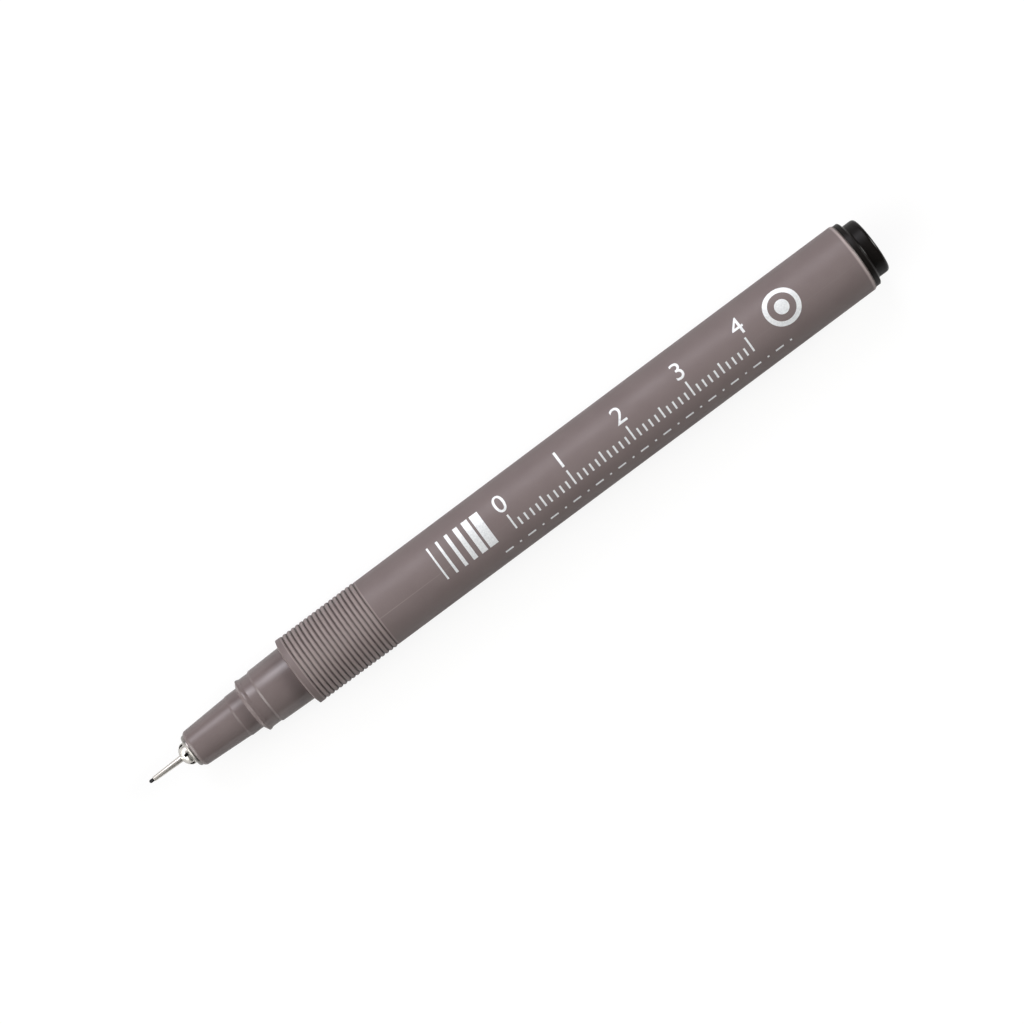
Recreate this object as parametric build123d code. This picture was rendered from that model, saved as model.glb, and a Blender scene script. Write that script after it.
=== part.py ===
"""Technical fineliner pen, uncapped, lying on its side.

Frame: +X runs along the pen from the writing point to the tail, +Z is up and the barrel rests on Z = 0.
The origin is under the middle of the pen's length. All sizes are in millimetres.
"""

from build123d import *
import os

# Fits
press_clearance = 0.01     # radial, between pieces that stay together
pull_clearance = 0.03      # radial, between pieces that pull apart
soft_clearance = 0.05      # radial, round the wick in the reservoir and the reservoir in its fins
end_gap = 0.20             # axial, at the ends of the reservoir and at the bottoms of sockets

# Writing tip: fibre point in a tapered steel tube, held by a domed steel collar
point_diameter = 0.50
point_reach = 0.75         # point standing out of the tube
tube_wall = 0.09           # at the tube's front
tube_flare = 0.125         # radial growth towards the collar
tube_reach = 4.70          # tube standing out of the collar
collar_lip = 0.10          # collar's front edge round the tube
collar_dome_length = 0.95
collar_dome_bulge = 0.16   # how far the dome swells from a straight cone
collar_band_length = 0.54  # straight part between the dome and the ring
collar_flange = 0.37       # straight part above the shank, radial
collar_ring_diameter = 4.90
collar_ring_thickness = 0.50
collar_ring_edge = 0.18
collar_wall = 0.815        # shank round the tube
collar_shank_length = 3.50
vent_count = 6             # air slots round the collar's front edge
vent_length = 0.62
vent_width = 0.46
vent_depth = 0.42

# Nose section: rounded shoulder, cone, land, snap bead, seal groove and tapered neck
nose_front_diameter = 5.62
nose_rear_diameter = 6.32
shoulder_length = 0.60
shoulder_height = 0.34
cone_length = 7.04
land_step = 0.09           # land above the cone's rear edge
land_length = 1.95
bead_relief = 0.15         # bead's crest below the cap seat
bead_ramp = 0.48
bead_crest = 0.22
bead_back = 0.38
groove_relief = 0.30       # groove's floor below the cap seat
groove_length = 1.36
groove_ramp = 0.30
neck_taper = 0.14          # neck's front below the cap seat
neck_length = 5.185
cavity_setback = 3.60      # front of the hollow, behind the groove's start
section_wall = 0.95
shank_length = 8.00        # inside the barrel
shank_lead = 0.40          # chamfer that starts the shank into the barrel

# Barrel: one tube with turned finger ribs at its front
barrel_diameter = 10.58
barrel_draft = 0.09        # radial taper towards the front
barrel_taper_length = 50.00
barrel_wall = 1.35
barrel_length = 81.10      # smooth part, behind the ribs
barrel_edge = 0.17         # chamfer at the tail end, radial
barrel_edge_length = 0.32
stop_step = 0.43           # neck above the bore, where it stops against the barrel's front
grip_proud = 0.095         # last rib above the smooth barrel behind it
grip_draft = 0.055         # first rib below the last one
grip_face_length = 0.28    # sloping front face
grip_lip = 0.05            # flat ring between the neck and the sloping face
grip_land = 0.755
rib_count = 17             # full ribs between the first and last groove
rib_pitch = 0.708
rib_height = 0.20
fin_count = 6              # fins along the bore that centre the reservoir
fin_height = 0.22
fin_width = 0.80
fin_setback = 2.00         # fins stop this far short of the shank and the plug

# Ink supply
wick_diameter = 2.00
wick_tip_diameter = 0.80
wick_tip_length = 0.60
wick_depth = 8.00          # wick inside the reservoir
point_depth = 1.60         # point's tail inside the wick
wrap_thickness = 0.12

# Tail plug: flange on the barrel's end, post for the cap, hollow shank with seals and prongs
flange_inset = 0.20
flange_thickness = 0.85
flange_edge = 0.15
post_length = 2.10
post_fillet = 0.35
post_edge = 0.50
plug_reach = 11.00         # inside the barrel
plug_wall = 0.95
plug_end_wall = 1.30
plug_lead = 0.30
seal_count = 2             # rings against the bore
seal_width = 0.70
seal_pitch = 2.20
seal_height = 0.10
seal_setback = 1.20
gap_count = 4              # gaps that split the shank's front into prongs
gap_width = 2.20
gap_depth = 3.00

# Radii, from the axis out
point_radius = point_diameter / 2
tube_bore_radius = point_radius + press_clearance
tube_front_radius = tube_bore_radius + tube_wall
tube_rear_radius = tube_front_radius + tube_flare
collar_bore_radius = tube_rear_radius + press_clearance
collar_front_radius = collar_bore_radius + collar_lip
collar_shank_radius = collar_bore_radius + collar_wall
collar_radius = collar_shank_radius + collar_flange
ring_radius = collar_ring_diameter / 2
socket_radius = collar_shank_radius + press_clearance
wick_radius = wick_diameter / 2
nose_front_radius = nose_front_diameter / 2
nose_rear_radius = nose_rear_diameter / 2
land_radius = nose_rear_radius + land_step
barrel_radius = barrel_diameter / 2
barrel_front_radius = barrel_radius - barrel_draft
grip_rear_radius = barrel_front_radius + grip_proud
grip_front_radius = grip_rear_radius - grip_draft
bore_radius = barrel_front_radius - barrel_wall
cap_seat_radius = bore_radius + stop_step      # one cap fits the neck's root and the tail post
shank_radius = bore_radius - pull_clearance
wrap_radius = bore_radius - fin_height - soft_clearance
wrap_bore_radius = wrap_radius - wrap_thickness
reservoir_radius = wrap_bore_radius - press_clearance

# Stations along the pen, from the writing point to the tail
ribs_length = (rib_count + 1) * rib_pitch
tip_length = point_reach + tube_reach + collar_dome_length + collar_band_length + collar_ring_thickness
nose_length = shoulder_length + cone_length + land_length
bead_length = bead_ramp + bead_crest + bead_back
seat_length = bead_length + groove_length + groove_ramp + neck_length
grip_length = grip_face_length + grip_land + ribs_length
tail_length = flange_thickness + post_length
overall_length = tip_length + nose_length + seat_length + grip_length + barrel_length + tail_length

point_x = -overall_length / 2
tube_x = point_x + point_reach
collar_x = tube_x + tube_reach
band_x = collar_x + collar_dome_length
ring_x = band_x + collar_band_length
nose_x = ring_x + collar_ring_thickness
cone_x = nose_x + shoulder_length
land_x = cone_x + cone_length
bead_x = land_x + land_length
groove_x = bead_x + bead_length
neck_x = groove_x + groove_length + groove_ramp
barrel_x = neck_x + neck_length
grip_x = barrel_x + grip_face_length
ribs_x = grip_x + grip_land
smooth_x = ribs_x + ribs_length
barrel_end_x = smooth_x + barrel_length
post_x = barrel_end_x + flange_thickness
tail_x = post_x + post_length

collar_end_x = nose_x + collar_shank_length
socket_end_x = collar_end_x + end_gap
point_end_x = socket_end_x + point_depth
cavity_x = groove_x + cavity_setback
shank_end_x = barrel_x + shank_length
plug_front_x = barrel_end_x - plug_reach
reservoir_x = shank_end_x + end_gap
reservoir_end_x = plug_front_x - end_gap
wick_end_x = reservoir_x + wick_depth

# The pen lies on its widest circle
axis_height = max(barrel_radius, grip_rear_radius)
pen_axis = Axis((0, 0, axis_height), (1, 0, 0))
# The outlines are drawn below the axis, in the half plane that stands on the surface under the pen
profile_plane = Plane(origin=(0, 0, axis_height), x_dir=(1, 0, 0), z_dir=(0, 1, 0))
same_point = 1e-7          # outline ends closer than this already meet


def turned(*outline):
    """Solid of revolution about the pen's axis. The outline is a closed run of (station, radius)
    points and arcs, joined by straight lines."""
    edges = []
    for item, following in zip(outline, outline[1:] + outline[:1]):
        start = Vector(item) if isinstance(item, tuple) else item @ 1
        end = Vector(following) if isinstance(following, tuple) else following @ 0
        if not isinstance(item, tuple):
            edges.append(item)
        if (end - start).length > same_point:
            edges.append(Line(start, end))
    return revolve(profile_plane * make_face(edges), pen_axis, 360)


def around_axis(shape, count):
    """Copies of a shape turned evenly about the pen's axis."""
    return [shape.rotate(pen_axis, 360 * turn / count) for turn in range(count)]


def axial_block(start_x, end_x, inner_radius, outer_radius, width):
    """Block along the pen, straight above its axis, between two radii."""
    middle = Pos((start_x + end_x) / 2, 0, axis_height + (inner_radius + outer_radius) / 2)
    return middle * Box(end_x - start_x, width, outer_radius - inner_radius)


def nib_core():
    """Fibre rod with a round writing end; its tail reaches into the wick."""
    round_end = CenterArc((point_x + point_radius, 0), point_radius, 180, -90)
    return turned(round_end, (point_end_x, point_radius), (point_end_x, 0))


def tip_tube():
    """Tapered steel tube round the fibre, straight where the collar holds it."""
    return turned(
        (tube_x, tube_bore_radius),
        (tube_x, tube_front_radius),
        (collar_x, tube_rear_radius),
        (collar_end_x, tube_rear_radius),
        (collar_end_x, tube_bore_radius),
    )


def tip_collar():
    """Domed steel collar with air slots, a ring against the nose and a shank pressed into it."""
    dome = SagittaArc((collar_x, collar_front_radius), (band_x, collar_radius), collar_dome_bulge)
    body = turned(
        (collar_x, collar_bore_radius),
        dome,
        (ring_x, collar_radius),
        (ring_x, ring_radius - collar_ring_edge),
        (ring_x + collar_ring_edge, ring_radius),
        (nose_x, ring_radius),
        (nose_x, collar_shank_radius),
        (collar_end_x, collar_shank_radius),
        (collar_end_x, collar_bore_radius),
    )
    slot = axial_block(
        band_x - vent_length / 2,
        band_x + vent_length / 2,
        collar_radius - vent_depth,
        collar_radius + vent_depth,
        vent_width,
    )
    return body - around_axis(slot, vent_count)


def nose_section():
    """Holder for the tip: cone, snap bead, seal groove and tapered neck, with a shank in the barrel."""
    bead_radius = cap_seat_radius - bead_relief
    groove_radius = cap_seat_radius - groove_relief
    neck_front_radius = cap_seat_radius - neck_taper
    cavity_radius = shank_radius - section_wall
    wick_bore_radius = wick_radius + press_clearance
    shoulder = RadiusArc(
        (nose_x, nose_front_radius - shoulder_height),
        (cone_x, nose_front_radius),
        (shoulder_length ** 2 + shoulder_height ** 2) / (2 * shoulder_height),
    )
    return turned(
        (nose_x, socket_radius),
        shoulder,
        (land_x, nose_rear_radius),
        (land_x, land_radius),
        (bead_x, land_radius),
        (bead_x + bead_ramp, bead_radius),
        (bead_x + bead_ramp + bead_crest, bead_radius),
        (groove_x, groove_radius),
        (groove_x + groove_length, groove_radius),
        (neck_x, neck_front_radius),
        (barrel_x, cap_seat_radius),
        (barrel_x, shank_radius),
        (shank_end_x - shank_lead, shank_radius),
        (shank_end_x, shank_radius - shank_lead),
        (shank_end_x, cavity_radius),
        (cavity_x, cavity_radius),
        (cavity_x, wick_bore_radius),
        (socket_end_x, wick_bore_radius),
        (socket_end_x, socket_radius),
    )


def rib_crest(station):
    """Radius of the line along the ribs' crests."""
    last_crest_x = smooth_x - rib_pitch
    return grip_front_radius + grip_draft * (station - ribs_x) / (last_crest_x - ribs_x)


def finger_ribs():
    """Outline of the ribs: a rounded edge down to the first groove, then one arc for each rib."""
    first_groove_x = ribs_x + rib_pitch / 2
    edge_radius = ((rib_pitch / 2) ** 2 + rib_height ** 2) / (2 * rib_height)
    first_floor = (first_groove_x, rib_crest(first_groove_x) - rib_height)
    arcs = [RadiusArc((ribs_x, grip_front_radius), first_floor, edge_radius)]
    for rib in range(rib_count):
        start_x = first_groove_x + rib * rib_pitch
        middle_x = start_x + rib_pitch / 2
        end_x = start_x + rib_pitch
        arcs.append(
            ThreePointArc(
                (start_x, rib_crest(start_x) - rib_height),
                (middle_x, rib_crest(middle_x)),
                (end_x, rib_crest(end_x) - rib_height),
            )
        )
    return arcs


def barrel():
    """Tube with ribs at the front and centring fins along its bore."""
    tube = turned(
        (barrel_x, bore_radius),
        (barrel_x, cap_seat_radius + grip_lip),
        (grip_x, grip_front_radius),
        *finger_ribs(),
        (smooth_x, barrel_front_radius),
        (smooth_x + barrel_taper_length, barrel_radius),
        (barrel_end_x - barrel_edge_length, barrel_radius),
        (barrel_end_x, barrel_radius - barrel_edge),
        (barrel_end_x, bore_radius),
    )
    fin = axial_block(
        shank_end_x + fin_setback,
        plug_front_x - fin_setback,
        bore_radius - fin_height,
        bore_radius + barrel_wall / 2,
        fin_width,
    )
    return tube + around_axis(fin, fin_count)


def relay_wick():
    """Fibre feed from the reservoir to the point, with a socket for the point's tail."""
    socket_floor_x = point_end_x + press_clearance
    return turned(
        (socket_end_x, tube_bore_radius),
        (socket_end_x, wick_radius),
        (wick_end_x - wick_tip_length, wick_radius),
        (wick_end_x, wick_tip_diameter / 2),
        (wick_end_x, 0),
        (socket_floor_x, 0),
        (socket_floor_x, tube_bore_radius),
    )


def ink_reservoir():
    """Bonded-fibre rod that holds the ink, with a hole at its front for the wick."""
    hole_radius = wick_radius + soft_clearance
    hole_end_x = wick_end_x + end_gap
    return turned(
        (reservoir_x, hole_radius),
        (reservoir_x, reservoir_radius),
        (reservoir_end_x, reservoir_radius),
        (reservoir_end_x, 0),
        (hole_end_x, 0),
        (hole_end_x, hole_radius),
    )


def reservoir_wrap():
    """Film sleeve round the reservoir, open at both ends."""
    return turned(
        (reservoir_x, wrap_bore_radius),
        (reservoir_x, wrap_radius),
        (reservoir_end_x, wrap_radius),
        (reservoir_end_x, wrap_bore_radius),
    )


def seal_rings(foot_radius):
    """Outline of the plug's sealing rings, from the flange forwards: up, along and down by thirds."""
    points = []
    for ring in range(seal_count):
        rear_x = barrel_end_x - seal_setback - ring * seal_pitch
        points += [
            (rear_x, foot_radius),
            (rear_x - seal_width / 3, foot_radius + seal_height),
            (rear_x - seal_width * 2 / 3, foot_radius + seal_height),
            (rear_x - seal_width, foot_radius),
        ]
    return points


def tail_plug():
    """Moulded plug: flange, cap post and a hollow shank that ends in prongs against the reservoir."""
    flange_radius = barrel_radius - flange_inset
    foot_radius = shank_radius - seal_height
    hollow_radius = foot_radius - plug_wall
    hollow_end_x = tail_x - plug_end_wall
    round_edge = CenterArc((tail_x - post_edge, cap_seat_radius - post_edge), post_edge, 0, 90)
    fillet_arc = CenterArc((post_x + post_fillet, cap_seat_radius + post_fillet), post_fillet, 270, -90)
    body = turned(
        (hollow_end_x, 0),
        (tail_x, 0),
        round_edge,
        fillet_arc,
        (post_x, flange_radius - flange_edge),
        (post_x - flange_edge, flange_radius),
        (barrel_end_x, flange_radius),
        (barrel_end_x, foot_radius),
        *seal_rings(foot_radius),
        (plug_front_x + plug_lead, foot_radius),
        (plug_front_x, foot_radius - plug_lead),
        (plug_front_x, hollow_radius),
        (hollow_end_x, hollow_radius),
    )
    gap = axial_block(plug_front_x - gap_depth, plug_front_x + gap_depth, 0, bore_radius, gap_width)
    return body - around_axis(gap, gap_count)


pieces = {
    "nib_core": nib_core,
    "tip_tube": tip_tube,
    "tip_collar": tip_collar,
    "nose_section": nose_section,
    "barrel": barrel,
    "relay_wick": relay_wick,
    "ink_reservoir": ink_reservoir,
    "reservoir_wrap": reservoir_wrap,
    "tail_plug": tail_plug,
}

os.makedirs("parts", exist_ok=True)
for name, make in pieces.items():
    export_step(make(), f"parts/{name}.step")
print(f"overall length {overall_length:.2f}, axis height {axis_height:.3f}")
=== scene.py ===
import math
import bpy
import bmesh
from mathutils import Matrix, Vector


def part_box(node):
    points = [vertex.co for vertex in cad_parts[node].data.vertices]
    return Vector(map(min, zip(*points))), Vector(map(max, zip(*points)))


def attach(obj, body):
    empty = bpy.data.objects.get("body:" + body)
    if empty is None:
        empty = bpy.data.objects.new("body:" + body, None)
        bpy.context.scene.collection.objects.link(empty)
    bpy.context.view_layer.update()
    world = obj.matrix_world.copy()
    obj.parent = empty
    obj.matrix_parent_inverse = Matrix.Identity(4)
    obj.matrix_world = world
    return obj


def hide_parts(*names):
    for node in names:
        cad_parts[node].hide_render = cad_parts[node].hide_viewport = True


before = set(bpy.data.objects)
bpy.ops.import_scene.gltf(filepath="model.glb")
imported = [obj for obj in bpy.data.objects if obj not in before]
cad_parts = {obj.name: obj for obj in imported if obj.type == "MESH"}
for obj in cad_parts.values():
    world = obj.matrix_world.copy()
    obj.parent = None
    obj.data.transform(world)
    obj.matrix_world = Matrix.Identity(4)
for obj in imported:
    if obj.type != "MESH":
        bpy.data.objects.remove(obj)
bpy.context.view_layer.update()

mm = 0.001
barrelLow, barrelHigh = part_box("barrel")
axisZ = (barrelLow.z + barrelHigh.z) / 2      # height of the pen's axis
print("frame loaded, pen axis at", round(axisZ / mm, 3), "mm")


# turned pieces: an outline is a closed list of stations and radii in mm

turning = {
    "onAxis": 1e-6,          # a smaller radius is a point on the axis
    "straight": 87,          # degrees; a corner whose half angle is wider is left alone
    "cornerShare": 0.45,     # most of a side that one rounded corner takes up
    "sharpAngle": 32,        # degrees; edges that bend further stay sharp
}


def span(node):      # start, end and widest radius of a node, in mm
    low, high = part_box(node)
    return low.x / mm, high.x / mm, (high.y - low.y) / 2 / mm


def spaced(start, end, count):      # evenly spaced points between two outline points, ends left out
    (x0, r0), (x1, r1) = start, end
    return [(x0 + (x1 - x0) * i / count, r0 + (r1 - r0) * i / count) for i in range(1, count)]


def arcPoints(x, r, radius, first, last, steps):      # part of a circle round (x, r), turns in degrees
    turns = [math.radians(first + (last - first) * i / steps) for i in range(steps + 1)]
    return [(x + radius * math.cos(turn), r + radius * math.sin(turn)) for turn in turns]


def softened(outline, radius, steps):      # rounds every corner
    rounded = []
    for i, (x, r) in enumerate(outline):
        lastX, lastR = outline[i - 1]
        nextX, nextR = outline[(i + 1) % len(outline)]
        inX, inR, outX, outR = lastX - x, lastR - r, nextX - x, nextR - r
        inLength, outLength = math.hypot(inX, inR), math.hypot(outX, outR)
        cosTurn = (inX * outX + inR * outR) / (inLength * outLength)
        half = math.acos(max(-1.0, min(1.0, cosTurn))) / 2
        if r < turning["onAxis"] or half > math.radians(turning["straight"]):
            rounded.append((x, r))
            continue
        cut = min(radius / math.tan(half), turning["cornerShare"] * min(inLength, outLength))
        startX, startR = x + inX / inLength * cut, r + inR / inLength * cut
        endX, endR = x + outX / outLength * cut, r + outR / outLength * cut
        for step in range(steps + 1):      # quadratic curve through the corner
            t = step / steps
            a, b, c = (1 - t) ** 2, 2 * t * (1 - t), t ** 2
            rounded.append((a * startX + b * x + c * endX, a * startR + b * r + c * endR))
    return rounded


def bridge(shape, loops):      # skins a closed run of loops; a loop of one point is a tip
    sides = max(len(loop) for loop in loops)
    for loop, following in zip(loops, loops[1:] + loops[:1]):
        if len(loop) == len(following) == 1:
            continue
        for i in range(sides):
            j = (i + 1) % sides
            corners = [loop[i % len(loop)], loop[j % len(loop)],
                       following[j % len(following)], following[i % len(following)]]
            shape.faces.new(list(dict.fromkeys(corners)))


def keptMesh(name, shape):      # a bmesh as a mesh that faces outwards
    bmesh.ops.recalc_face_normals(shape, faces=shape.faces)
    mesh = bpy.data.meshes.new(name)
    shape.to_mesh(mesh)
    shape.free()
    return mesh


def newObject(name, data):
    obj = bpy.data.objects.new(name, data)
    bpy.context.scene.collection.objects.link(obj)
    return obj


def turned(name, outline, segments):      # closed skin of revolution about the pen's axis
    shape = bmesh.new()
    turns = [2 * math.pi * i / segments for i in range(segments)]
    rings = []
    for x, r in outline:
        places = turns if r > turning["onAxis"] else turns[:1]
        corners = [(x * mm, r * mm * math.sin(turn), axisZ + r * mm * math.cos(turn)) for turn in places]
        rings.append([shape.verts.new(corner) for corner in corners])
    bridge(shape, rings)
    return newObject(name, keptMesh(name, shape))


def turnedSoft(name, outline, size):      # the same with its corners rounded
    return turned(name, softened(outline, size["edge"], size["edgeSteps"]), size["segments"])


def plainMesh(obj):      # what an object evaluates to, as a mesh of its own
    bpy.context.view_layer.update()
    graph = bpy.context.evaluated_depsgraph_get()
    return bpy.data.meshes.new_from_object(obj.evaluated_get(graph))


def handIn(obj, body, node, material):      # finishes a piece, then tells the frame about it
    mesh = obj.data
    mesh.materials.clear()
    mesh.materials.append(material)
    mesh.polygons.foreach_set("use_smooth", [True] * len(mesh.polygons))
    mesh.set_sharp_from_angle(angle=math.radians(turning["sharpAngle"]))
    mesh.update()
    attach(obj, body)
    if node:
        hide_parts(node)
    print("made", obj.name, len(obj.data.polygons), "faces")


# node trees

class Wire:      # a value inside a node tree: arithmetic on it adds Math nodes
    def __init__(self, tree, socket):
        self.tree, self.socket = tree, socket

    def calc(self, operation, *terms):
        return wireFrom(self.tree, "ShaderNodeMath", enumerate((self, *terms)), operation=operation)

    def __add__(self, other):
        return self.calc("ADD", other)

    def __sub__(self, other):
        return self.calc("SUBTRACT", other)

    def __mul__(self, other):
        return self.calc("MULTIPLY", other)

    def __truediv__(self, other):
        return self.calc("DIVIDE", other)

    def __gt__(self, other):      # 1 where it holds, else 0
        return self.calc("GREATER_THAN", other)

    def __lt__(self, other):
        return self.calc("LESS_THAN", other)

    def __abs__(self):
        return self.calc("ABSOLUTE")


def feed(node, inputs):      # gives each input, by name or number, a wire or a plain value
    for socket, term in dict(inputs).items():
        if isinstance(term, Wire):
            term.tree.links.new(term.socket, node.inputs[socket])
        else:
            node.inputs[socket].default_value = term


def addNode(tree, kind, inputs=(), **settings):
    node = tree.nodes.new(kind)
    for name, setting in settings.items():
        setattr(node, name, setting)
    feed(node, inputs)
    return node


def wireFrom(tree, kind, inputs=(), output=0, **settings):      # adds a node, gives the wire from one output
    return Wire(tree, addNode(tree, kind, inputs, **settings).outputs[output])


def between(value, low, high):
    return (value > low) * (value < high)


def joined(tree, *terms):      # one vector out of three numbers or wires
    return wireFrom(tree, "ShaderNodeCombineXYZ", enumerate(terms))


def split(vector):
    node = addNode(vector.tree, "ShaderNodeSeparateXYZ", {0: vector})
    return [Wire(vector.tree, socket) for socket in node.outputs]


def ranged(value, low, high, fromLow=0.3, fromHigh=0.7):      # noise mostly lies between 0.3 and 0.7
    inputs = {"Value": value, "From Min": fromLow, "From Max": fromHigh, "To Min": low, "To Max": high}
    return wireFrom(value.tree, "ShaderNodeMapRange", inputs, "Result")


def penPlace(tree, kind="ShaderNodeTexCoord", output="Object"):
    x, y, z = split(wireFrom(tree, kind, output=output))
    height = z - axisZ
    return x, y, height, (y * y + height * height).calc("SQRT")      # station, sideways, upwards, radius


def newTree(name, sizes):      # geometry tree that takes one geometry and named sizes
    tree = bpy.data.node_groups.new(name, "GeometryNodeTree")
    for direction in ("OUTPUT", "INPUT"):
        tree.interface.new_socket("Geometry", in_out=direction, socket_type="NodeSocketGeometry")
    for label in sizes:
        kind = "NodeSocketInt" if label.lower().endswith("count") else "NodeSocketFloat"
        tree.interface.new_socket(label, in_out="INPUT", socket_type=kind)
    entry = addNode(tree, "NodeGroupInput")
    return tree, {socket.name: Wire(tree, socket) for socket in entry.outputs if socket.name}


def closeTree(geometry, material):      # every tree ends in plain geometry with its material
    tree = geometry.tree
    plain = wireFrom(tree, "GeometryNodeRealizeInstances", {"Geometry": geometry})
    paint = wireFrom(tree, "GeometryNodeSetMaterial", {"Geometry": plain, "Material": material})
    addNode(tree, "NodeGroupOutput", {"Geometry": paint})
    return tree


def runTree(obj, tree, sizes):      # takes the tree's inputs from sizes in mm, and keeps a plain mesh
    modifier = obj.modifiers.new(tree.name, "NODES")
    modifier.node_group = tree
    for item in tree.interface.items_tree:
        if item.name != "Geometry":
            unit = 1 if item.name.lower().endswith(("count", "growth")) else mm      # the rest are lengths
            modifier[item.identifier] = sizes[item.name] * unit
    mesh = plainMesh(obj)
    obj.modifiers.remove(modifier)
    obj.data = mesh


def movePoints(geometry, x, y, z):
    place = joined(geometry.tree, x, y, z)
    return wireFrom(geometry.tree, "GeometryNodeSetPosition", {"Geometry": geometry, "Position": place})


def ribTree(material):      # presses turned ribs into the outside of a blank
    tree, given = newTree("finger ribs", [
        "start", "pitch", "height", "length", "frontRadius", "rearRadius", "skinRadius"])
    x, y, height, radius = penPlace(tree, "GeometryNodeInputPosition", "Position")
    pitch, ribHeight = given["pitch"], given["height"]
    front, rear = given["frontRadius"], given["rearRadius"]
    along = x - given["start"]
    fromCrest = ((along / pitch + 0.5).calc("FRACT") - 0.5) * pitch
    halfPitch = pitch * 0.5
    arc = (halfPitch * halfPitch + ribHeight * ribHeight) / (ribHeight * 2.0)      # radius of a rib's top
    drop = arc - (arc * arc - fromCrest * fromCrest).calc("SQRT")
    share = along / given["length"]
    crest = front + (rear - front) * share
    ribbed = radius.calc("MINIMUM", crest - drop)
    chosen = between(share, 0.0, 1.0) * (radius > given["skinRadius"])
    scale = chosen * (ribbed / radius - 1.0) + 1.0
    return closeTree(movePoints(given["Geometry"], x, y * scale, height * scale + axisZ), material)


def notchTree(name, material):      # cuts evenly spaced blocks out of a turned piece
    tree, given = newTree(name, ["count", "station", "radius", "length", "width", "depth"])
    points = wireFrom(tree, "GeometryNodePoints", {"Count": given["count"]})
    turn = wireFrom(tree, "GeometryNodeInputIndex") / given["count"] * (2 * math.pi)
    ring = movePoints(points, given["station"], given["radius"] * turn.calc("SINE"),
                      given["radius"] * turn.calc("COSINE") + axisZ)
    size = joined(tree, given["length"], given["width"], given["depth"])
    block = wireFrom(tree, "GeometryNodeMeshCube", {"Size": size}, "Mesh")
    copies = wireFrom(tree, "GeometryNodeInstanceOnPoints", {
        "Points": ring, "Instance": block, "Rotation": joined(tree, turn * -1.0, 0.0, 0.0)})
    cutters = wireFrom(tree, "GeometryNodeRealizeInstances", {"Geometry": copies})
    cut = wireFrom(tree, "GeometryNodeMeshBoolean", {"Mesh 1": given["Geometry"], "Mesh 2": cutters}, "Mesh",
                   operation="DIFFERENCE", solver="EXACT")
    return closeTree(cut, material)


# materials

def newMaterial(name):
    material = bpy.data.materials.new(name)
    material.use_nodes = True
    tree = material.node_tree
    return material, tree, tree.nodes["Principled BSDF"]


def objectNoise(tree, scale, detail=3.0, stretch=(1, 1, 1)):      # noise on object coordinates
    place = wireFrom(tree, "ShaderNodeTexCoord", output="Object")
    scaled = wireFrom(tree, "ShaderNodeMapping", {"Vector": place, "Scale": stretch})
    return wireFrom(tree, "ShaderNodeTexNoise", {"Vector": scaled, "Scale": scale, "Detail": detail}, "Fac")


def blended(factor, colourA, colourB):
    first, second = (c if isinstance(c, Wire) else (*c, 1) for c in (colourA, colourB))
    inputs = {"Factor": factor, 6: first, 7: second}      # 6 and 7 are the colours that go in, 2 comes out
    return wireFrom(factor.tree, "ShaderNodeMix", inputs, 2, data_type="RGBA")


def bumped(height, strength, distance):
    inputs = {"Height": height, "Strength": strength, "Distance": distance}
    return wireFrom(height.tree, "ShaderNodeBump", inputs, "Normal")


def partingLine(tree, line):      # 1 along the faint seam of the two mould halves, fading along the pen
    x, y, height, _ = penPlace(tree)
    turn = math.radians(line["turn"])
    off = abs(y * math.cos(turn) + height * math.sin(turn))
    seam = ranged(off, 1, 0, 0, line["width"] * mm) * (x > line["start"] * mm)
    return seam * ranged(x, 1, line["least"], line["from"] * mm, line["to"] * mm)


def ribShade(tree, ribs):      # depth in the grooves between ribs from 0 to 1, and 1 where there are ribs
    x, _, _, radius = penPlace(tree)
    along = x - ribs["start"] * mm
    phase = (along / (ribs["pitch"] * mm) + 0.5).calc("FRACT")
    depth = abs(phase - 0.5) * 2.0
    ribbed = between(along, 0.0, ribs["length"] * mm) * (radius > ribs["skin"] * mm)
    return ranged(depth, 0, 1, ribs["crestHighlightTo"], ribs["grooveShadeFrom"]), ribbed


def rimShade(tree, rim, first, full):      # from 0 to 1 between two distances from the rim's edge
    x, _, _, radius = penPlace(tree)
    shade = ranged(x, 0, 1, (rim["edge"] + first) * mm, (rim["edge"] + full) * mm)
    return shade * (radius > rim["inner"] * mm)


def moulded(name, look, line=None, ribs=None, rim=None, bright=()):      # plastic: clouds, grain, smears
    material, tree, shader = newMaterial(name)
    cloud = ranged(objectNoise(tree, look["cloudScale"]), 0, 1)
    colour = blended(cloud, look["colour"], look["colourCloud"])
    grain = objectNoise(tree, look["grainScale"], look["grainDetail"])
    colour = blended(ranged(grain, 0, look["speckle"]), colour, look["colourSpeckle"])
    height = grain
    if ribs:      # painted highlight on the crests and painted shade in the grooves
        depth, ribbed = ribShade(tree, ribs)
        shade = blended(depth, ribs["crestHighlightColour"], ribs["grooveShadeColour"])
        colour = blended(ribbed * ribs["share"], colour, shade)
    if rim:      # painted highlight along the edge, then painted shade where it meets the plug
        for first, full, rimColour in rim["bands"]:
            colour = blended(rimShade(tree, rim, first, full), colour, rimColour)
    if line:
        seam = partingLine(tree, line)
        colour = blended(seam * line["share"], colour, line["colour"])
        height = grain + seam * line["height"]
    smear = objectNoise(tree, look["smearScale"], look["smearDetail"], look["smearStretch"])
    rough = ranged(smear, look["roughLow"], look["roughHigh"])
    for first, last, gloss in bright:      # stretches of the pen that keep their gloss
        x = penPlace(tree)[0]
        rough = rough - between(x, first * mm, last * mm) * (rough - gloss)
    feed(shader, {"Base Color": colour, "Roughness": rough, "Specular IOR Level": look["specular"],
                  "Normal": bumped(height, look["grainStrength"], look["grainDepth"])})
    return material


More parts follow.
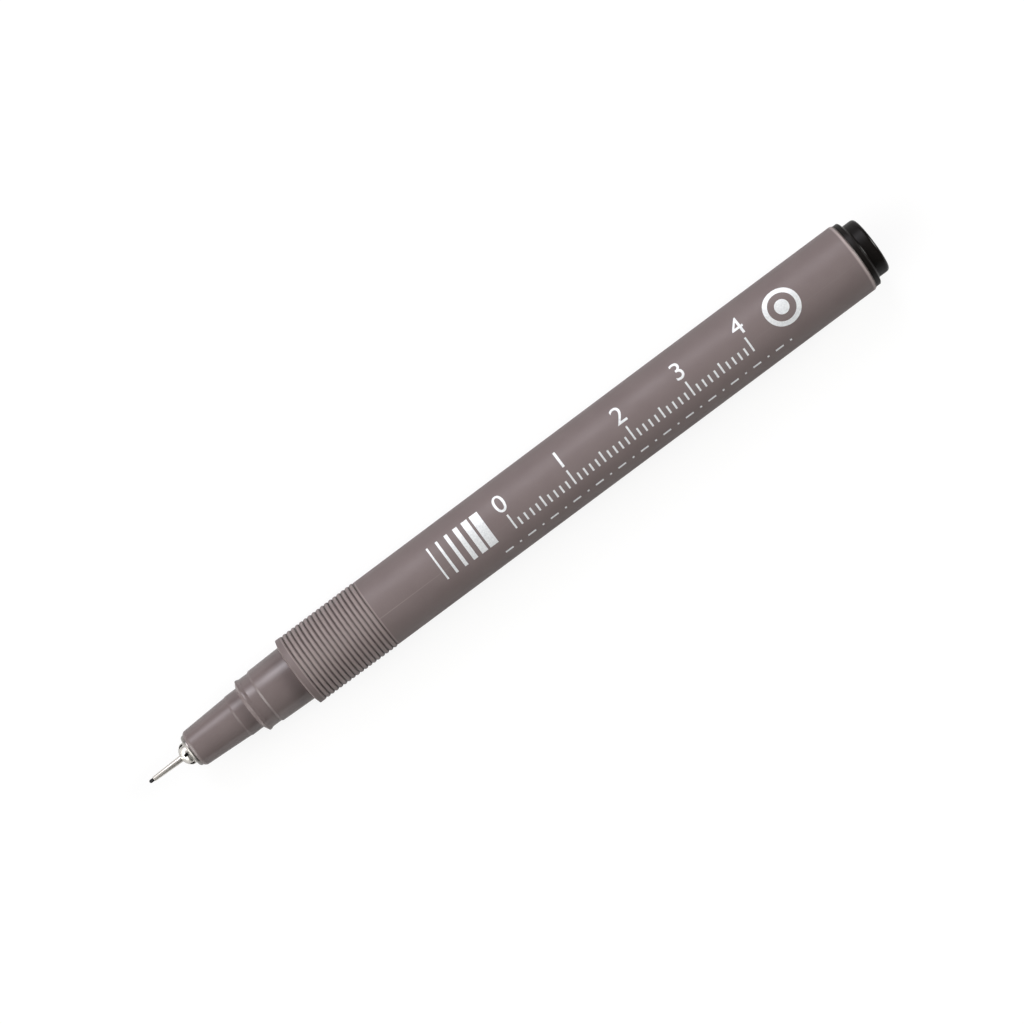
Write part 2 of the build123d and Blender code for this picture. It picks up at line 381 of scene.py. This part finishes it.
plasticLook = {"smearScale": 900.0, "smearDetail": 2.0, "smearStretch": (0.25, 1, 1),
               "grainScale": 9000.0, "grainDetail": 4.0}
taupeLook = {
    **plasticLook, "colour": (0.177, 0.143, 0.141), "colourCloud": (0.191, 0.156, 0.154), "cloudScale": 260.0,
    "colourSpeckle": (0.150, 0.120, 0.118), "speckle": 0.35, "roughLow": 0.38, "roughHigh": 0.48,
    "grainStrength": 0.12, "grainDepth": 0.00003, "specular": 0.28,
}
# the barrel's taupe made a little darker, painted shade against the stronger light on the nose, and glossier
noseLook = {
    **taupeLook, "colour": (0.168, 0.136, 0.134), "colourCloud": (0.181, 0.148, 0.146),
    "colourSpeckle": (0.142, 0.114, 0.112), "speckle": 0.2, "roughLow": 0.15, "roughHigh": 0.21,
    "grainStrength": 0.06, "specular": 0.45,
}
blackLook = {
    **plasticLook, "colour": (0.0074, 0.0062, 0.0056), "colourCloud": (0.0092, 0.0078, 0.0071),
    "cloudScale": 300.0, "colourSpeckle": (0.0056, 0.0047, 0.0043), "speckle": 0.3,
    "roughLow": 0.34, "roughHigh": 0.42, "grainStrength": 0.05, "grainDepth": 0.00002, "specular": 0.16,
}
taupeGloss = moulded("taupe gloss plastic", noseLook)


def slotShade(tree, slots):      # 1 on the floors and walls of slots that are evenly spaced round the pen
    x, y, height, radius = penPlace(tree)
    step = 2 * math.pi / slots["count"]
    turns = y.calc("ARCTAN2", height) / step
    turn = (turns - turns.calc("ROUND")) * step
    aside = abs(radius * turn.calc("SINE"))
    off = abs(x - slots["station"] * mm)
    halfLength, halfWidth = (slots[side] / 2 + slots["margin"] for side in ("length", "width"))
    return (off < halfLength * mm) * (aside < halfWidth * mm) * (radius > slots["floor"] * mm)


def metal(name, look, slots=None):      # drawn or polished metal with fine marks and bands of painted shade by radius; cut slots get painted shade inside
    material, tree, shader = newMaterial(name)
    feed(shader, {"Metallic": look["metallic"]})
    cloud = ranged(objectNoise(tree, look["cloudScale"]), 0, 1)
    colour = blended(cloud, look["colour"], look["colourCloud"])
    for clear, full, shadeColour in look["shadeBands"]:      # radii where a painted shade starts and where it is full
        radius = penPlace(tree)[3]
        colour = blended(ranged(radius, 0, 1, clear * mm, full * mm), colour, shadeColour)
    if slots:
        # painted shade on the floors and walls of the slots
        inSlot = slotShade(tree, slots)
        colour = blended(inSlot, colour, slots["colour"])
        feed(shader, {"Metallic": ranged(inSlot, look["metallic"], 0, 0, 1)})
    marks = objectNoise(tree, look["markScale"], stretch=look["markStretch"])
    feed(shader, {"Base Color": colour, "Roughness": ranged(marks, look["roughLow"], look["roughHigh"]),
                  "Normal": bumped(marks, look["markStrength"], look["markDepth"])})
    return material


metalLook = {"metallic": 0.75, "cloudScale": 900.0, "markDepth": 0.00001, "shadeBands": ()}
collarLook = {
    **metalLook, "colour": (0.70, 0.68, 0.64), "colourCloud": (0.67, 0.65, 0.61),
    "roughLow": 0.22, "roughHigh": 0.28,
    "markScale": 6000.0, "markStretch": (1, 0.2, 0.2), "markStrength": 0.015,
    "shadeBands": ((0.80, 0.56, (0.16, 0.15, 0.14)),            # painted shade in the joint round the tube
               (2.20, 2.35, (0.32, 0.305, 0.29))),          # painted shade on the rim of the ring
}
tubeLook = {
    **metalLook, "colour": (0.75, 0.72, 0.67), "colourCloud": (0.72, 0.69, 0.64),
    "roughLow": 0.25, "roughHigh": 0.32,
    "markScale": 7000.0, "markStretch": (0.08, 1, 1), "markStrength": 0.02,
}
tubeSteel = metal("drawn tube steel", tubeLook)


def streaked(name, look):      # streaks along the pen, for fibre soaked with ink and for creases in the wrap
    material, tree, shader = newMaterial(name)
    streaks = objectNoise(tree, look["scale"], look["detail"], look["stretch"])
    feed(shader, {"Base Color": blended(ranged(streaks, 0, 1), look["colour"], look["colourStreak"]),
                  "Roughness": ranged(streaks, look["rough"], look["roughStreak"]),
                  "Specular IOR Level": look["specular"],
                  "Normal": bumped(streaks, look["strength"], look["depth"])})
    return material


fibreLook = {"detail": 4.0, "stretch": (0.06, 1, 1), "rough": 0.95, "roughStreak": 0.65, "specular": 0.3}
pointLook = {**fibreLook, "colour": (0.012, 0.012, 0.013), "colourStreak": (0.030, 0.029, 0.031),
             "scale": 9000.0, "strength": 0.3, "depth": 0.00002}
wickLook = {**fibreLook, "colour": (0.030, 0.030, 0.036), "colourStreak": (0.090, 0.090, 0.100),
            "scale": 5000.0, "strength": 0.5, "depth": 0.00004}
reservoirLook = {**fibreLook, "colour": (0.020, 0.020, 0.026), "colourStreak": (0.070, 0.070, 0.082),
                 "scale": 3000.0, "strength": 0.6, "depth": 0.00006}
filmLook = {"detail": 2.0, "stretch": (0.1, 1, 1), "rough": 0.10, "roughStreak": 0.28, "specular": 0.5,
            "colour": (0.50, 0.51, 0.53), "colourStreak": (0.60, 0.61, 0.63),
            "scale": 1500.0, "strength": 0.4, "depth": 0.00005}
pointFibre = streaked("point fibre", pointLook)
wickFibre = streaked("wick fibre", wickLook)
reservoirFibre = streaked("reservoir fibre", reservoirLook)
wrapFilm = streaked("wrap film", filmLook)


def foil(name, look):      # white print with a faint silvery mottle
    material, tree, shader = newMaterial(name)
    mottle = ranged(objectNoise(tree, look["scale"], look["detail"]), 0, 1)
    feed(shader, {"Base Color": blended(mottle, look["colour"], look["colourMottle"]),
                  "Roughness": ranged(mottle, look["roughLow"], look["roughHigh"], 0, 1),
                  "Metallic": look["metallic"],
                  "Normal": bumped(mottle, look["strength"], look["depth"])})
    return material


foilLook = {"colour": (0.84, 0.86, 0.87), "colourMottle": (0.66, 0.68, 0.70), "scale": 4200.0, "detail": 5.0,
            "roughLow": 0.30, "roughHigh": 0.50, "metallic": 0.15, "strength": 0.15, "depth": 0.00001}
whiteFoil = foil("white foil print", foilLook)
print("materials made")


# barrel: ribbed grip, long smooth tube, fins along the bore

barrelStart, barrelEnd, _ = span("barrel")
barrel = {
    "segments": 160, "radius": 5.29, "bore": 3.85, "boreSide": 0.5, "boreRings": 8,
    "mouth": 4.33, "faceLength": 0.28, "faceEdge": 0.07, "faceSteps": 4, "land": 0.755,
    "gripFront": 5.24, "gripRear": 5.295, "ribCount": 17, "ribPitch": 0.708, "ribHeight": 0.20,
    "ringsPerRib": 14, "smoothFront": 5.20, "taperLength": 50.0, "taperRings": 12, "tubeRings": 8,
    "edge": 0.17, "edgeLength": 0.32, "edgeRound": 0.05, "edgeSteps": 3,
    "finCount": 6, "finHeight": 0.22, "finHalfWidth": 0.42, "finStart": 10.0, "finEnd": 13.0, "finStep": 0.03,
    "finTolerance": 0.01,
}
gripX = barrelStart + barrel["faceLength"]
ribsX = gripX + barrel["land"]
ribsLength = (barrel["ribCount"] + 1) * barrel["ribPitch"]
crestSlope = (barrel["gripRear"] - barrel["gripFront"]) / (ribsLength - barrel["ribPitch"])
smoothX = ribsX + ribsLength
rimX = barrelEnd - barrel["edgeLength"]
skinRadius = barrel["bore"] + barrel["boreSide"]      # what lies further out is the outside

ribTint = {
    "start": ribsX, "length": ribsLength, "pitch": barrel["ribPitch"], "skin": skinRadius,
    # the crest colour is a painted highlight and the groove colour a painted shade, blended by depth in the
    # groove
    "crestHighlightTo": 0.30, "grooveShadeFrom": 0.95, "share": 0.85,
    "crestHighlightColour": (0.279, 0.230, 0.225), "grooveShadeColour": (0.077, 0.060, 0.057),
}
rimTint = {
    "edge": rimX, "inner": barrel["radius"] - barrel["edge"] - 0.05,      # just inside the sloping edge
    "bands": ((-0.32, -0.14, (0.36, 0.305, 0.298)),         # painted highlight
              (0.04, 0.20, (0.075, 0.060, 0.057))),         # painted shade
}
seamLine = {
    "turn": 10.0, "width": 0.09, "start": smoothX,
    "from": -20.0, "to": -8.0, "least": 0.15,      # stations between which it fades
    "share": 0.60, "colour": (0.30, 0.255, 0.25), "height": 1.2,
}
taupe = moulded("taupe satin plastic", taupeLook, seamLine, ribTint, rimTint)


def barrelOutline(finStart, finEnd):
    b = barrel
    bore, smooth, radius = b["bore"], b["smoothFront"], b["radius"]
    beyond = 1.0      # what is rounded reaches this far past the stretch that is kept
    front = [(barrelStart, bore), (barrelStart, b["mouth"]), (gripX, b["gripFront"]),
             (ribsX + beyond, b["gripFront"]), (ribsX + beyond, bore)]
    outline = [(x, r) for x, r in softened(front, b["faceEdge"], b["faceSteps"]) if x < ribsX]
    ringCount = (b["ribCount"] + 1) * b["ringsPerRib"]
    lastGroove = ringCount - b["ringsPerRib"] // 2
    for i in range(ringCount):      # plain grip, for the ribs to be pressed into
        along = ribsLength * i / ringCount
        outline.append((ribsX + along, b["gripFront"] + crestSlope * along if i <= lastGroove else smooth))
    taperX = smoothX + b["taperLength"]
    outline += [(smoothX, smooth)] + spaced((smoothX, smooth), (taperX, radius), b["taperRings"])
    outline += [(taperX, radius)] + spaced((taperX, radius), (rimX, radius), b["tubeRings"])
    rear = [(rimX - beyond, bore), (rimX - beyond, radius), (rimX, radius),
            (barrelEnd, radius - b["edge"]), (barrelEnd, bore)]
    rear = softened(rear, b["edgeRound"], b["edgeSteps"])
    outline += [(x, r) for x, r in rear if x > rimX - beyond / 2]
    outline += [(finEnd + b["finStep"], bore), (finEnd, bore)]
    outline += spaced((finEnd, bore), (finStart, bore), b["boreRings"])
    return outline + [(finStart, bore), (finStart - b["finStep"], bore)]


def raiseFins(mesh, finStart, finEnd):      # fins stand out of the bore's wall
    b = barrel
    step = 2 * math.pi / b["finCount"]
    near = b["finTolerance"]
    for vertex in mesh.vertices:
        x, y, z = vertex.co.x / mm, vertex.co.y, vertex.co.z - axisZ
        r = math.hypot(y, z)
        turn = math.atan2(y, z)
        offFin = abs(turn - round(turn / step) * step) * b["bore"]
        onWall = r < (b["bore"] + near) * mm and finStart - near <= x <= finEnd + near
        if onWall and offFin <= b["finHalfWidth"]:
            share = (b["bore"] - b["finHeight"]) * mm / r
            vertex.co.y, vertex.co.z = y * share, axisZ + z * share


def makeBarrel():
    b = barrel
    fins = barrelStart + b["finStart"], barrelEnd - b["finEnd"]
    obj = turned("barrel_skin", barrelOutline(*fins), b["segments"])
    raiseFins(obj.data, *fins)
    runTree(obj, ribTree(taupe), {
        "start": ribsX, "pitch": b["ribPitch"], "height": b["ribHeight"], "length": ribsLength,
        "frontRadius": b["gripFront"], "rearRadius": b["gripFront"] + crestSlope * ribsLength,
        "skinRadius": skinRadius,
    })
    handIn(obj, "barrel_unit", "barrel", taupe)


makeBarrel()


# print on the barrel: graduated bars, a plain scale with numerals, a ring with a dot, and a low row of dashes

printing = {
    "thickness": 0.03, "sunk": 0.018, "base": -2.2, "top": 3.1, "slice": 0.3, "markRows": 18,
    "tickStart": -0.5, "tickPitch": 1.0, "tickCount": 41, "tickStroke": 0.28,
    "shortTick": 1.2, "halfTick": 1.7, "longTick": 2.3, "halfEvery": 5,
    "numeralEvery": 10, "numeralSize": 3.8, "numeralBase": 0.70,
    "barStart": -12.0, "barPitch": 1.55, "barCount": 6, "barThin": 0.28, "barGrowth": 1.37,
    "ringX": 46.0, "ringRadius": 2.7, "ringStroke": 0.70, "dotRadius": 1.05, "ringSides": 64,
    "dashStart": -3.0, "dashPitch": 1.9, "dashCount": 26, "dashLong": 1.3, "dashShort": 0.3, "longEvery": 2,
    "dashHeight": 0.3, "dashRow": -4.5,
    "cutReach": 1e-5, "mergeReach": 1e-4, "shortEdge": 1e-3,      # tolerances when the slabs are cut
}


def markRow(given, kind, sizeOf):      # flat blocks in a row; sizeOf gives base, width and height of each
    tree = given["Geometry"].tree
    points = wireFrom(tree, "GeometryNodePoints", {"Count": given[kind + "Count"]})
    index = wireFrom(tree, "GeometryNodeInputIndex")
    base, width, height = sizeOf(index)
    row = movePoints(points, given[kind + "Start"] + index * given[kind + "Pitch"], base + height * 0.5, 0.0)
    rows = printing["markRows"]      # enough to follow the barrel's curve
    block = wireFrom(tree, "GeometryNodeMeshCube", {"Vertices Y": rows}, "Mesh")
    size = joined(tree, width, height, given["thickness"])
    return wireFrom(tree, "GeometryNodeInstanceOnPoints", {"Points": row, "Instance": block, "Scale": size})


def everyNth(index, step):      # 1 at each multiple of step
    return index.calc("MODULO", step) < 0.5


def printTree(material):      # adds the rows of marks to flat shapes and wraps all of it round the barrel
    tree, given = newTree("barrel print", [
        "tickCount", "tickStart", "tickPitch", "tickStroke", "shortTick", "halfTick", "longTick",
        "barCount", "barStart", "barPitch", "barThin", "barGrowth", "barHeight", "base",
        "dashCount", "dashStart", "dashPitch", "dashLong", "dashShort", "dashHeight", "dashRow",
        "thickness", "lift", "taperStart", "taperLength", "frontRadius", "rearRadius"])

    def tickSize(index):
        half = everyNth(index, printing["halfEvery"]) * (given["halfTick"] - given["shortTick"])
        whole = everyNth(index, printing["numeralEvery"]) * (given["longTick"] - given["halfTick"])
        return given["base"], given["tickStroke"], given["shortTick"] + (half + whole)

    def barSize(index):
        return given["base"], given["barThin"] * given["barGrowth"].calc("POWER", index), given["barHeight"]

    def dashSize(index):
        longer = everyNth(index, printing["longEvery"]) * (given["dashLong"] - given["dashShort"])
        return given["dashRow"], given["dashShort"] + longer, given["dashHeight"]

    gather = addNode(tree, "GeometryNodeJoinGeometry", {0: given["Geometry"]})
    for kind, sizeOf in (("tick", tickSize), ("bar", barSize), ("dash", dashSize)):
        feed(gather, {0: markRow(given, kind, sizeOf)})
    flat = wireFrom(tree, "GeometryNodeRealizeInstances", {0: Wire(tree, gather.outputs[0])})
    x, y, z = split(wireFrom(tree, "GeometryNodeInputPosition"))
    share = ((x - given["taperStart"]) / given["taperLength"]).calc("MAXIMUM", 0.0).calc("MINIMUM", 1.0)
    radius = given["frontRadius"] + share * (given["rearRadius"] - given["frontRadius"])
    turn = y / radius
    outer = radius + (z + given["lift"])
    wrapped = movePoints(flat, x, outer * turn.calc("SINE"), outer * turn.calc("COSINE") + axisZ)
    return closeTree(wrapped, material)


def flatNumeral(shape, body, x):      # one numeral as a thin closed slab, in mm
    data = bpy.data.curves.new("numeral", "FONT")
    data.body = body
    data.size = printing["numeralSize"]
    data.extrude = printing["thickness"] / 2
    data.align_x = "CENTER"
    text = newObject("numeral", data)
    mesh = plainMesh(text)
    mesh.transform(Matrix.Translation((x, printing["numeralBase"], 0)))
    shape.from_mesh(mesh)
    bpy.data.objects.remove(text)
    bpy.data.curves.remove(data)
    bpy.data.meshes.remove(mesh)


def flatRing(shape, x, y, inner, outer):      # ring as a thin closed slab, in mm; a disc where inner is 0
    half = printing["thickness"] / 2
    sides = printing["ringSides"]
    loops = []
    for r, z in ((inner, half), (outer, half), (outer, -half), (inner, -half)):
        turns = [2 * math.pi * i / sides for i in range(sides if r else 1)]
        loops.append([shape.verts.new((x + r * math.cos(turn), y + r * math.sin(turn), z)) for turn in turns])
    bridge(shape, loops)


def makePrint():
    p, b = printing, barrel
    shape = bmesh.new()
    for i in range((p["tickCount"] - 1) // p["numeralEvery"] + 1):
        flatNumeral(shape, str(i), p["tickStart"] + i * p["numeralEvery"] * p["tickPitch"])
    barHeight = p["top"] - p["base"]
    middle = (p["base"] + p["top"]) / 2
    flatRing(shape, p["ringX"], middle, p["ringRadius"] - p["ringStroke"], p["ringRadius"])
    flatRing(shape, p["ringX"], middle, 0, p["dotRadius"])
    for i in range(1, int(barHeight / p["slice"]) + 1):      # cuts that let the slabs bend round the barrel
        geometry = shape.verts[:] + shape.edges[:] + shape.faces[:]
        bmesh.ops.bisect_plane(shape, geom=geometry, dist=p["cutReach"],
                               plane_co=(0, p["base"] + i * p["slice"], 0), plane_no=(0, 1, 0))
    bmesh.ops.remove_doubles(shape, verts=shape.verts[:], dist=p["mergeReach"])
    bmesh.ops.dissolve_degenerate(shape, edges=shape.edges[:], dist=p["shortEdge"])
    mesh = keptMesh("barrel_print", shape)
    mesh.transform(Matrix.Scale(mm, 4))
    obj = newObject("barrel_print", mesh)
    runTree(obj, printTree(whiteFoil), {
        **p, "barHeight": barHeight, "lift": p["thickness"] / 2 - p["sunk"],
        "taperStart": smoothX, "taperLength": b["taperLength"],
        "frontRadius": b["smoothFront"], "rearRadius": b["radius"],
    })
    handIn(obj, "barrel_unit", None, whiteFoil)


makePrint()


# nose section: shoulder, cone, snap bead, seal groove, neck and the shank inside the barrel

noseStart, noseEnd, seatRadius = span("nose_section")
nose = {
    "segments": 128, "edge": 0.06, "edgeSteps": 3,
    "shoulderStart": 2.47, "shoulderLength": 0.60, "shoulderSteps": 6,
    "coneFront": 2.81, "coneRear": 3.16, "coneLength": 7.04,
    "landRamp": 0.30, "land": 3.25, "landLength": 1.95,
    "beadRamp": 0.48, "bead": 4.13, "beadCrest": 0.22, "beadBack": 0.38,
    "groove": 3.98, "grooveLength": 1.36, "grooveRamp": 0.30, "neckFront": 4.14,
    "shank": 3.82, "shankLead": 0.40, "cavity": 2.87, "cavityStart": 14.27,
    "wickBore": 1.01, "socket": 1.31, "socketDepth": 3.70,
}


def makeNose():
    n = nose
    rise = n["coneFront"] - n["shoulderStart"]
    arc = (n["shoulderLength"] ** 2 + rise ** 2) / (2 * rise)      # shoulder's arc ends level with the cone
    sweep = math.degrees(math.asin(n["shoulderLength"] / arc))
    x = noseStart + n["shoulderLength"]
    outline = [(noseStart, n["socket"])]
    outline += arcPoints(x, n["coneFront"] - arc, arc, 90 + sweep, 90, n["shoulderSteps"])
    x += n["coneLength"]
    outline += [(x - n["landRamp"] / 2, n["coneRear"]), (x + n["landRamp"] / 2, n["land"])]
    x += n["landLength"]
    outline += [(x, n["land"]), (x + n["beadRamp"], n["bead"])]
    x += n["beadRamp"] + n["beadCrest"]
    outline += [(x, n["bead"]), (x + n["beadBack"], n["groove"])]
    x += n["beadBack"] + n["grooveLength"]
    outline += [(x, n["groove"]), (x + n["grooveRamp"], n["neckFront"]), (barrelStart, seatRadius)]
    cavityX, socketX = noseStart + n["cavityStart"], noseStart + n["socketDepth"]
    outline += [(barrelStart, n["shank"]), (noseEnd - n["shankLead"], n["shank"]),
                (noseEnd, n["shank"] - n["shankLead"]), (noseEnd, n["cavity"]), (cavityX, n["cavity"]),
                (cavityX, n["wickBore"]), (socketX, n["wickBore"]), (socketX, n["socket"])]
    obj = turnedSoft("nose_skin", outline, nose)
    handIn(obj, "tip_unit", "nose_section", taupeGloss)


makeNose()


# writing tip: fibre point, steel tube, domed collar with air slots and a ring against the nose

point = {"segments": 48, "domeSteps": 10}


def makePoint():
    start, end, radius = span("nib_core")
    outline = arcPoints(start + radius, 0, radius, 180, 90, point["domeSteps"]) + [(end, radius), (end, 0)]
    obj = turned("fibre_point", outline, point["segments"])
    handIn(obj, "tip_unit", "nib_core", pointFibre)


tube = {"segments": 64, "edge": 0.035, "edgeSteps": 4, "bore": 0.26, "front": 0.35}


def makeTube():
    start, end, radius = span("tip_tube")
    collarStart = span("tip_collar")[0]
    outline = [(start, tube["bore"]), (start, tube["front"]), (collarStart, radius), (end, radius),
               (end, tube["bore"])]
    obj = turnedSoft("steel_tube", outline, tube)
    handIn(obj, "tip_unit", "tip_tube", tubeSteel)


collar = {
    "segments": 96, "edge": 0.04, "edgeSteps": 3, "bore": 0.485, "front": 0.585, "band": 1.67,
    "domeLength": 0.95, "domeBulge": 0.16, "domeSteps": 12,
    "ringThickness": 0.50, "ringEdge": 0.38, "ringSteps": 5, "shank": 1.30,
    "slotCount": 6, "slotLength": 0.62, "slotWidth": 0.46, "slotDepth": 0.42,
    "slotShadeColour": (0.012, 0.011, 0.010), "slotMargin": 0.004, "slotUnder": 0.05,      # painted shade inside the slots, and how far it reaches
}


def makeCollar():
    c = collar
    start, end, radius = span("tip_collar")
    bandX = start + c["domeLength"]
    ringX, edge = noseStart - c["ringThickness"], c["ringEdge"]
    rise = c["band"] - c["front"]
    chord = math.hypot(c["domeLength"], rise)
    arc = (chord ** 2 / 4 + c["domeBulge"] ** 2) / (2 * c["domeBulge"])      # circle through the dome
    reach = arc - c["domeBulge"]
    lean = math.atan2(rise, c["domeLength"])
    half = math.asin(chord / 2 / arc)
    centreX = (start + bandX) / 2 + reach * math.sin(lean)
    centreR = (c["front"] + c["band"]) / 2 - reach * math.cos(lean)
    first, last = 90 + math.degrees(lean + half), 90 + math.degrees(lean - half)
    outline = [(start, c["bore"])] + arcPoints(centreX, centreR, arc, first, last, c["domeSteps"])
    outline.append((ringX, c["band"]))
    outline += arcPoints(ringX + edge, radius - edge, edge, 180, 90, c["ringSteps"])
    outline += [(noseStart, radius), (noseStart, c["shank"]), (end, c["shank"]), (end, c["bore"])]
    slots = {"count": c["slotCount"], "station": bandX, "radius": c["band"],
             "length": c["slotLength"], "width": c["slotWidth"], "depth": 2 * c["slotDepth"],
             "colour": c["slotShadeColour"], "margin": c["slotMargin"],
             "floor": c["band"] - c["slotDepth"] - c["slotUnder"]}
    collarMetal = metal("polished collar steel", collarLook, slots)
    obj = turnedSoft("collar_skin", outline, collar)
    runTree(obj, notchTree("collar air slots", collarMetal), slots)
    handIn(obj, "tip_unit", "tip_collar", collarMetal)


makePoint()
makeTube()
makeCollar()


# tail plug: flange, post for the cap, hollow shank with seal rings and prongs

plug = {
    "segments": 128, "edge": 0.05, "edgeSteps": 3, "flangeThickness": 0.85, "flangeEdge": 0.15,
    "post": 4.28, "postEdge": 0.50, "postSteps": 7, "postFillet": 0.35, "filletSteps": 6,
    "endWall": 1.30, "foot": 3.72, "wall": 0.95, "lead": 0.30,
    "sealCount": 2, "sealWidth": 0.70, "sealPitch": 2.20, "sealHeight": 0.10, "sealSetback": 1.20,
    "gapCount": 4, "gapWidth": 2.20, "gapDepth": 3.00, "gloss": 0.12,
}


def makePlug():
    p = plug
    start, end, radius = span("tail_plug")
    foot, fillet, edge = p["foot"], p["postFillet"], p["postEdge"]
    postX = barrelEnd + p["flangeThickness"]
    wallX = end - p["endWall"]
    hollow = foot - p["wall"]
    black = moulded("black moulded plastic", blackLook, bright=(
        (postX - p["flangeEdge"], postX + fillet, p["gloss"]), (end - edge, end + edge, p["gloss"])))
    outline = [(wallX, 0), (end, 0)]
    outline += arcPoints(end - edge, p["post"] - edge, edge, 0, 90, p["postSteps"])
    outline += arcPoints(postX + fillet, p["post"] + fillet, fillet, 270, 180, p["filletSteps"])
    outline += [(postX, radius - p["flangeEdge"]), (postX - p["flangeEdge"], radius), (barrelEnd, radius),
                (barrelEnd, foot)]
    for ring in range(p["sealCount"]):
        rear = barrelEnd - p["sealSetback"] - ring * p["sealPitch"]
        crest, third = foot + p["sealHeight"], p["sealWidth"] / 3
        outline += [(rear, foot), (rear - third, crest), (rear - 2 * third, crest), (rear - 3 * third, foot)]
    outline += [(start + p["lead"], foot), (start, foot - p["lead"]), (start, hollow), (wallX, hollow)]
    obj = turnedSoft("plug_skin", outline, plug)
    runTree(obj, notchTree("plug prong gaps", black), {
        "count": p["gapCount"], "station": start, "radius": foot,
        "length": 2 * p["gapDepth"], "width": p["gapWidth"], "depth": foot,
    })
    handIn(obj, "plug_unit", "tail_plug", black)


makePlug()


# ink supply: wick, reservoir and its wrap

wick = {"segments": 64, "edge": 0.05, "edgeSteps": 3, "tip": 0.40, "tipLength": 0.60,
        "pointHole": 0.26, "pointDepth": 1.61}
reservoir = {"segments": 96, "edge": 0.04, "edgeSteps": 3, "holeClearance": 0.05, "holeGap": 0.20}
wrap = {"segments": 96, "edge": 0.03, "edgeSteps": 2, "gap": 0.01}


def makeSupply():
    start, end, radius = span("relay_wick")
    pointX = start + wick["pointDepth"]
    outline = [(start, wick["pointHole"]), (start, radius), (end - wick["tipLength"], radius),
               (end, wick["tip"]), (end, 0), (pointX, 0), (pointX, wick["pointHole"])]
    obj = turnedSoft("wick_rod", outline, wick)
    handIn(obj, "tip_unit", "relay_wick", wickFibre)
    holeX, hole = end + reservoir["holeGap"], radius + reservoir["holeClearance"]
    start, end, radius = span("ink_reservoir")
    outline = [(start, hole), (start, radius), (end, radius), (end, 0), (holeX, 0), (holeX, hole)]
    obj = turnedSoft("reservoir_rod", outline, reservoir)
    handIn(obj, "barrel_unit", "ink_reservoir", reservoirFibre)
    inner = radius + wrap["gap"]
    start, end, radius = span("reservoir_wrap")
    outline = [(start, inner), (start, radius), (end, radius), (end, inner)]
    obj = turnedSoft("wrap_sleeve", outline, wrap)
    handIn(obj, "barrel_unit", "reservoir_wrap", wrapFilm)


makeSupply()


# camera: straight above the pen, turned so that the pen rises to the right

view = {
    "pixels": 1024, "pixelsPerMm": 7.333, "distance": 0.498, "turn": 36.72, "aimX": 0.259, "aimY": 0.0,
    "sensor": 36.0, "clipStart": 0.01,
}


def makeCamera():
    data = bpy.data.cameras.new("top camera")
    across = view["pixels"] / view["pixelsPerMm"] * mm      # width of the picture at the pen's axis
    data.sensor_width = view["sensor"]
    data.lens = view["sensor"] * view["distance"] / across
    data.clip_start = view["clipStart"]
    camera = newObject("top camera", data)
    camera.location = (view["aimX"] * mm, view["aimY"] * mm, axisZ + view["distance"])
    camera.rotation_euler = (0, 0, -math.radians(view["turn"]))
    bpy.context.scene.camera = camera


makeCamera()


# floor and soft studio light: three soft glows in a dim sky

studio = {
    "floorSize": 6.0, "floorColour": (0.62, 0.62, 0.62), "floorBounce": (0.26, 0.26, 0.26), "floorGlow": 0.72,
    "glowStrength": 1.165, "skyBase": (0.04, 0.04, 0.038),
}
glows = [      # heading from +X and lean from straight up in degrees, how narrow, strength, colour
    {"heading": 90, "lean": 52, "sharpness": 28, "strength": 6.6, "tint": (1.0, 0.965, 1.03)},
    {"heading": 176, "lean": 72, "sharpness": 6, "strength": 5.6, "tint": (1.0, 0.995, 0.97)},
    {"heading": 0, "lean": 66, "sharpness": 44, "strength": 20.0, "tint": (1.0, 0.995, 0.97)},
]


def seenFloor(tree):      # 1 for rays from the camera or through glass, and 1 for those and reflections
    path = addNode(tree, "ShaderNodeLightPath").outputs
    direct = Wire(tree, path["Is Camera Ray"]).calc("MAXIMUM", Wire(tree, path["Is Transmission Ray"]))
    return direct, direct.calc("MAXIMUM", Wire(tree, path["Is Glossy Ray"]))


def makeFloor():
    half = studio["floorSize"] / 2
    corners = [(-half, -half, 0), (half, -half, 0), (half, half, 0), (-half, half, 0)]
    mesh = bpy.data.meshes.new("floor")
    mesh.from_pydata(corners, [], [(0, 1, 2, 3)])
    floor = newObject("floor", mesh)
    material, tree, shader = newMaterial("floor white")
    tree.nodes.remove(shader)
    direct, seen = seenFloor(tree)
    colour = blended(seen, studio["floorBounce"], studio["floorColour"])
    paint = wireFrom(tree, "ShaderNodeBsdfDiffuse", {"Color": colour})
    glow = wireFrom(tree, "ShaderNodeEmission", {"Strength": studio["glowStrength"]})
    white = wireFrom(tree, "ShaderNodeMixShader", {0: direct * studio["floorGlow"], 1: paint, 2: glow})
    feed(tree.nodes["Material Output"], {"Surface": white})
    mesh.materials.append(material)


def makeSky():
    world = bpy.data.worlds.new("studio")
    bpy.context.scene.world = world
    world.use_nodes = True
    tree = world.node_tree
    place = wireFrom(tree, "ShaderNodeTexCoord", output="Generated")
    light = joined(tree, *studio["skyBase"])
    for glow in glows:
        heading, lean = math.radians(glow["heading"]), math.radians(glow["lean"])
        across = math.sin(lean)
        aim = (across * math.cos(heading), across * math.sin(heading), math.cos(lean))
        facing = wireFrom(tree, "ShaderNodeVectorMath", {0: place, 1: aim}, "Value", operation="DOT_PRODUCT")
        level = facing.calc("MAXIMUM", 0.0).calc("POWER", glow["sharpness"]) * glow["strength"]
        terms = {0: joined(tree, level, level, level), 1: glow["tint"], 2: light}
        light = wireFrom(tree, "ShaderNodeVectorMath", terms, operation="MULTIPLY_ADD")
    feed(tree.nodes["Background"], {"Color": light})


makeFloor()
makeSky()
bpy.context.scene.view_settings.view_transform = "Standard"
print("stage set")
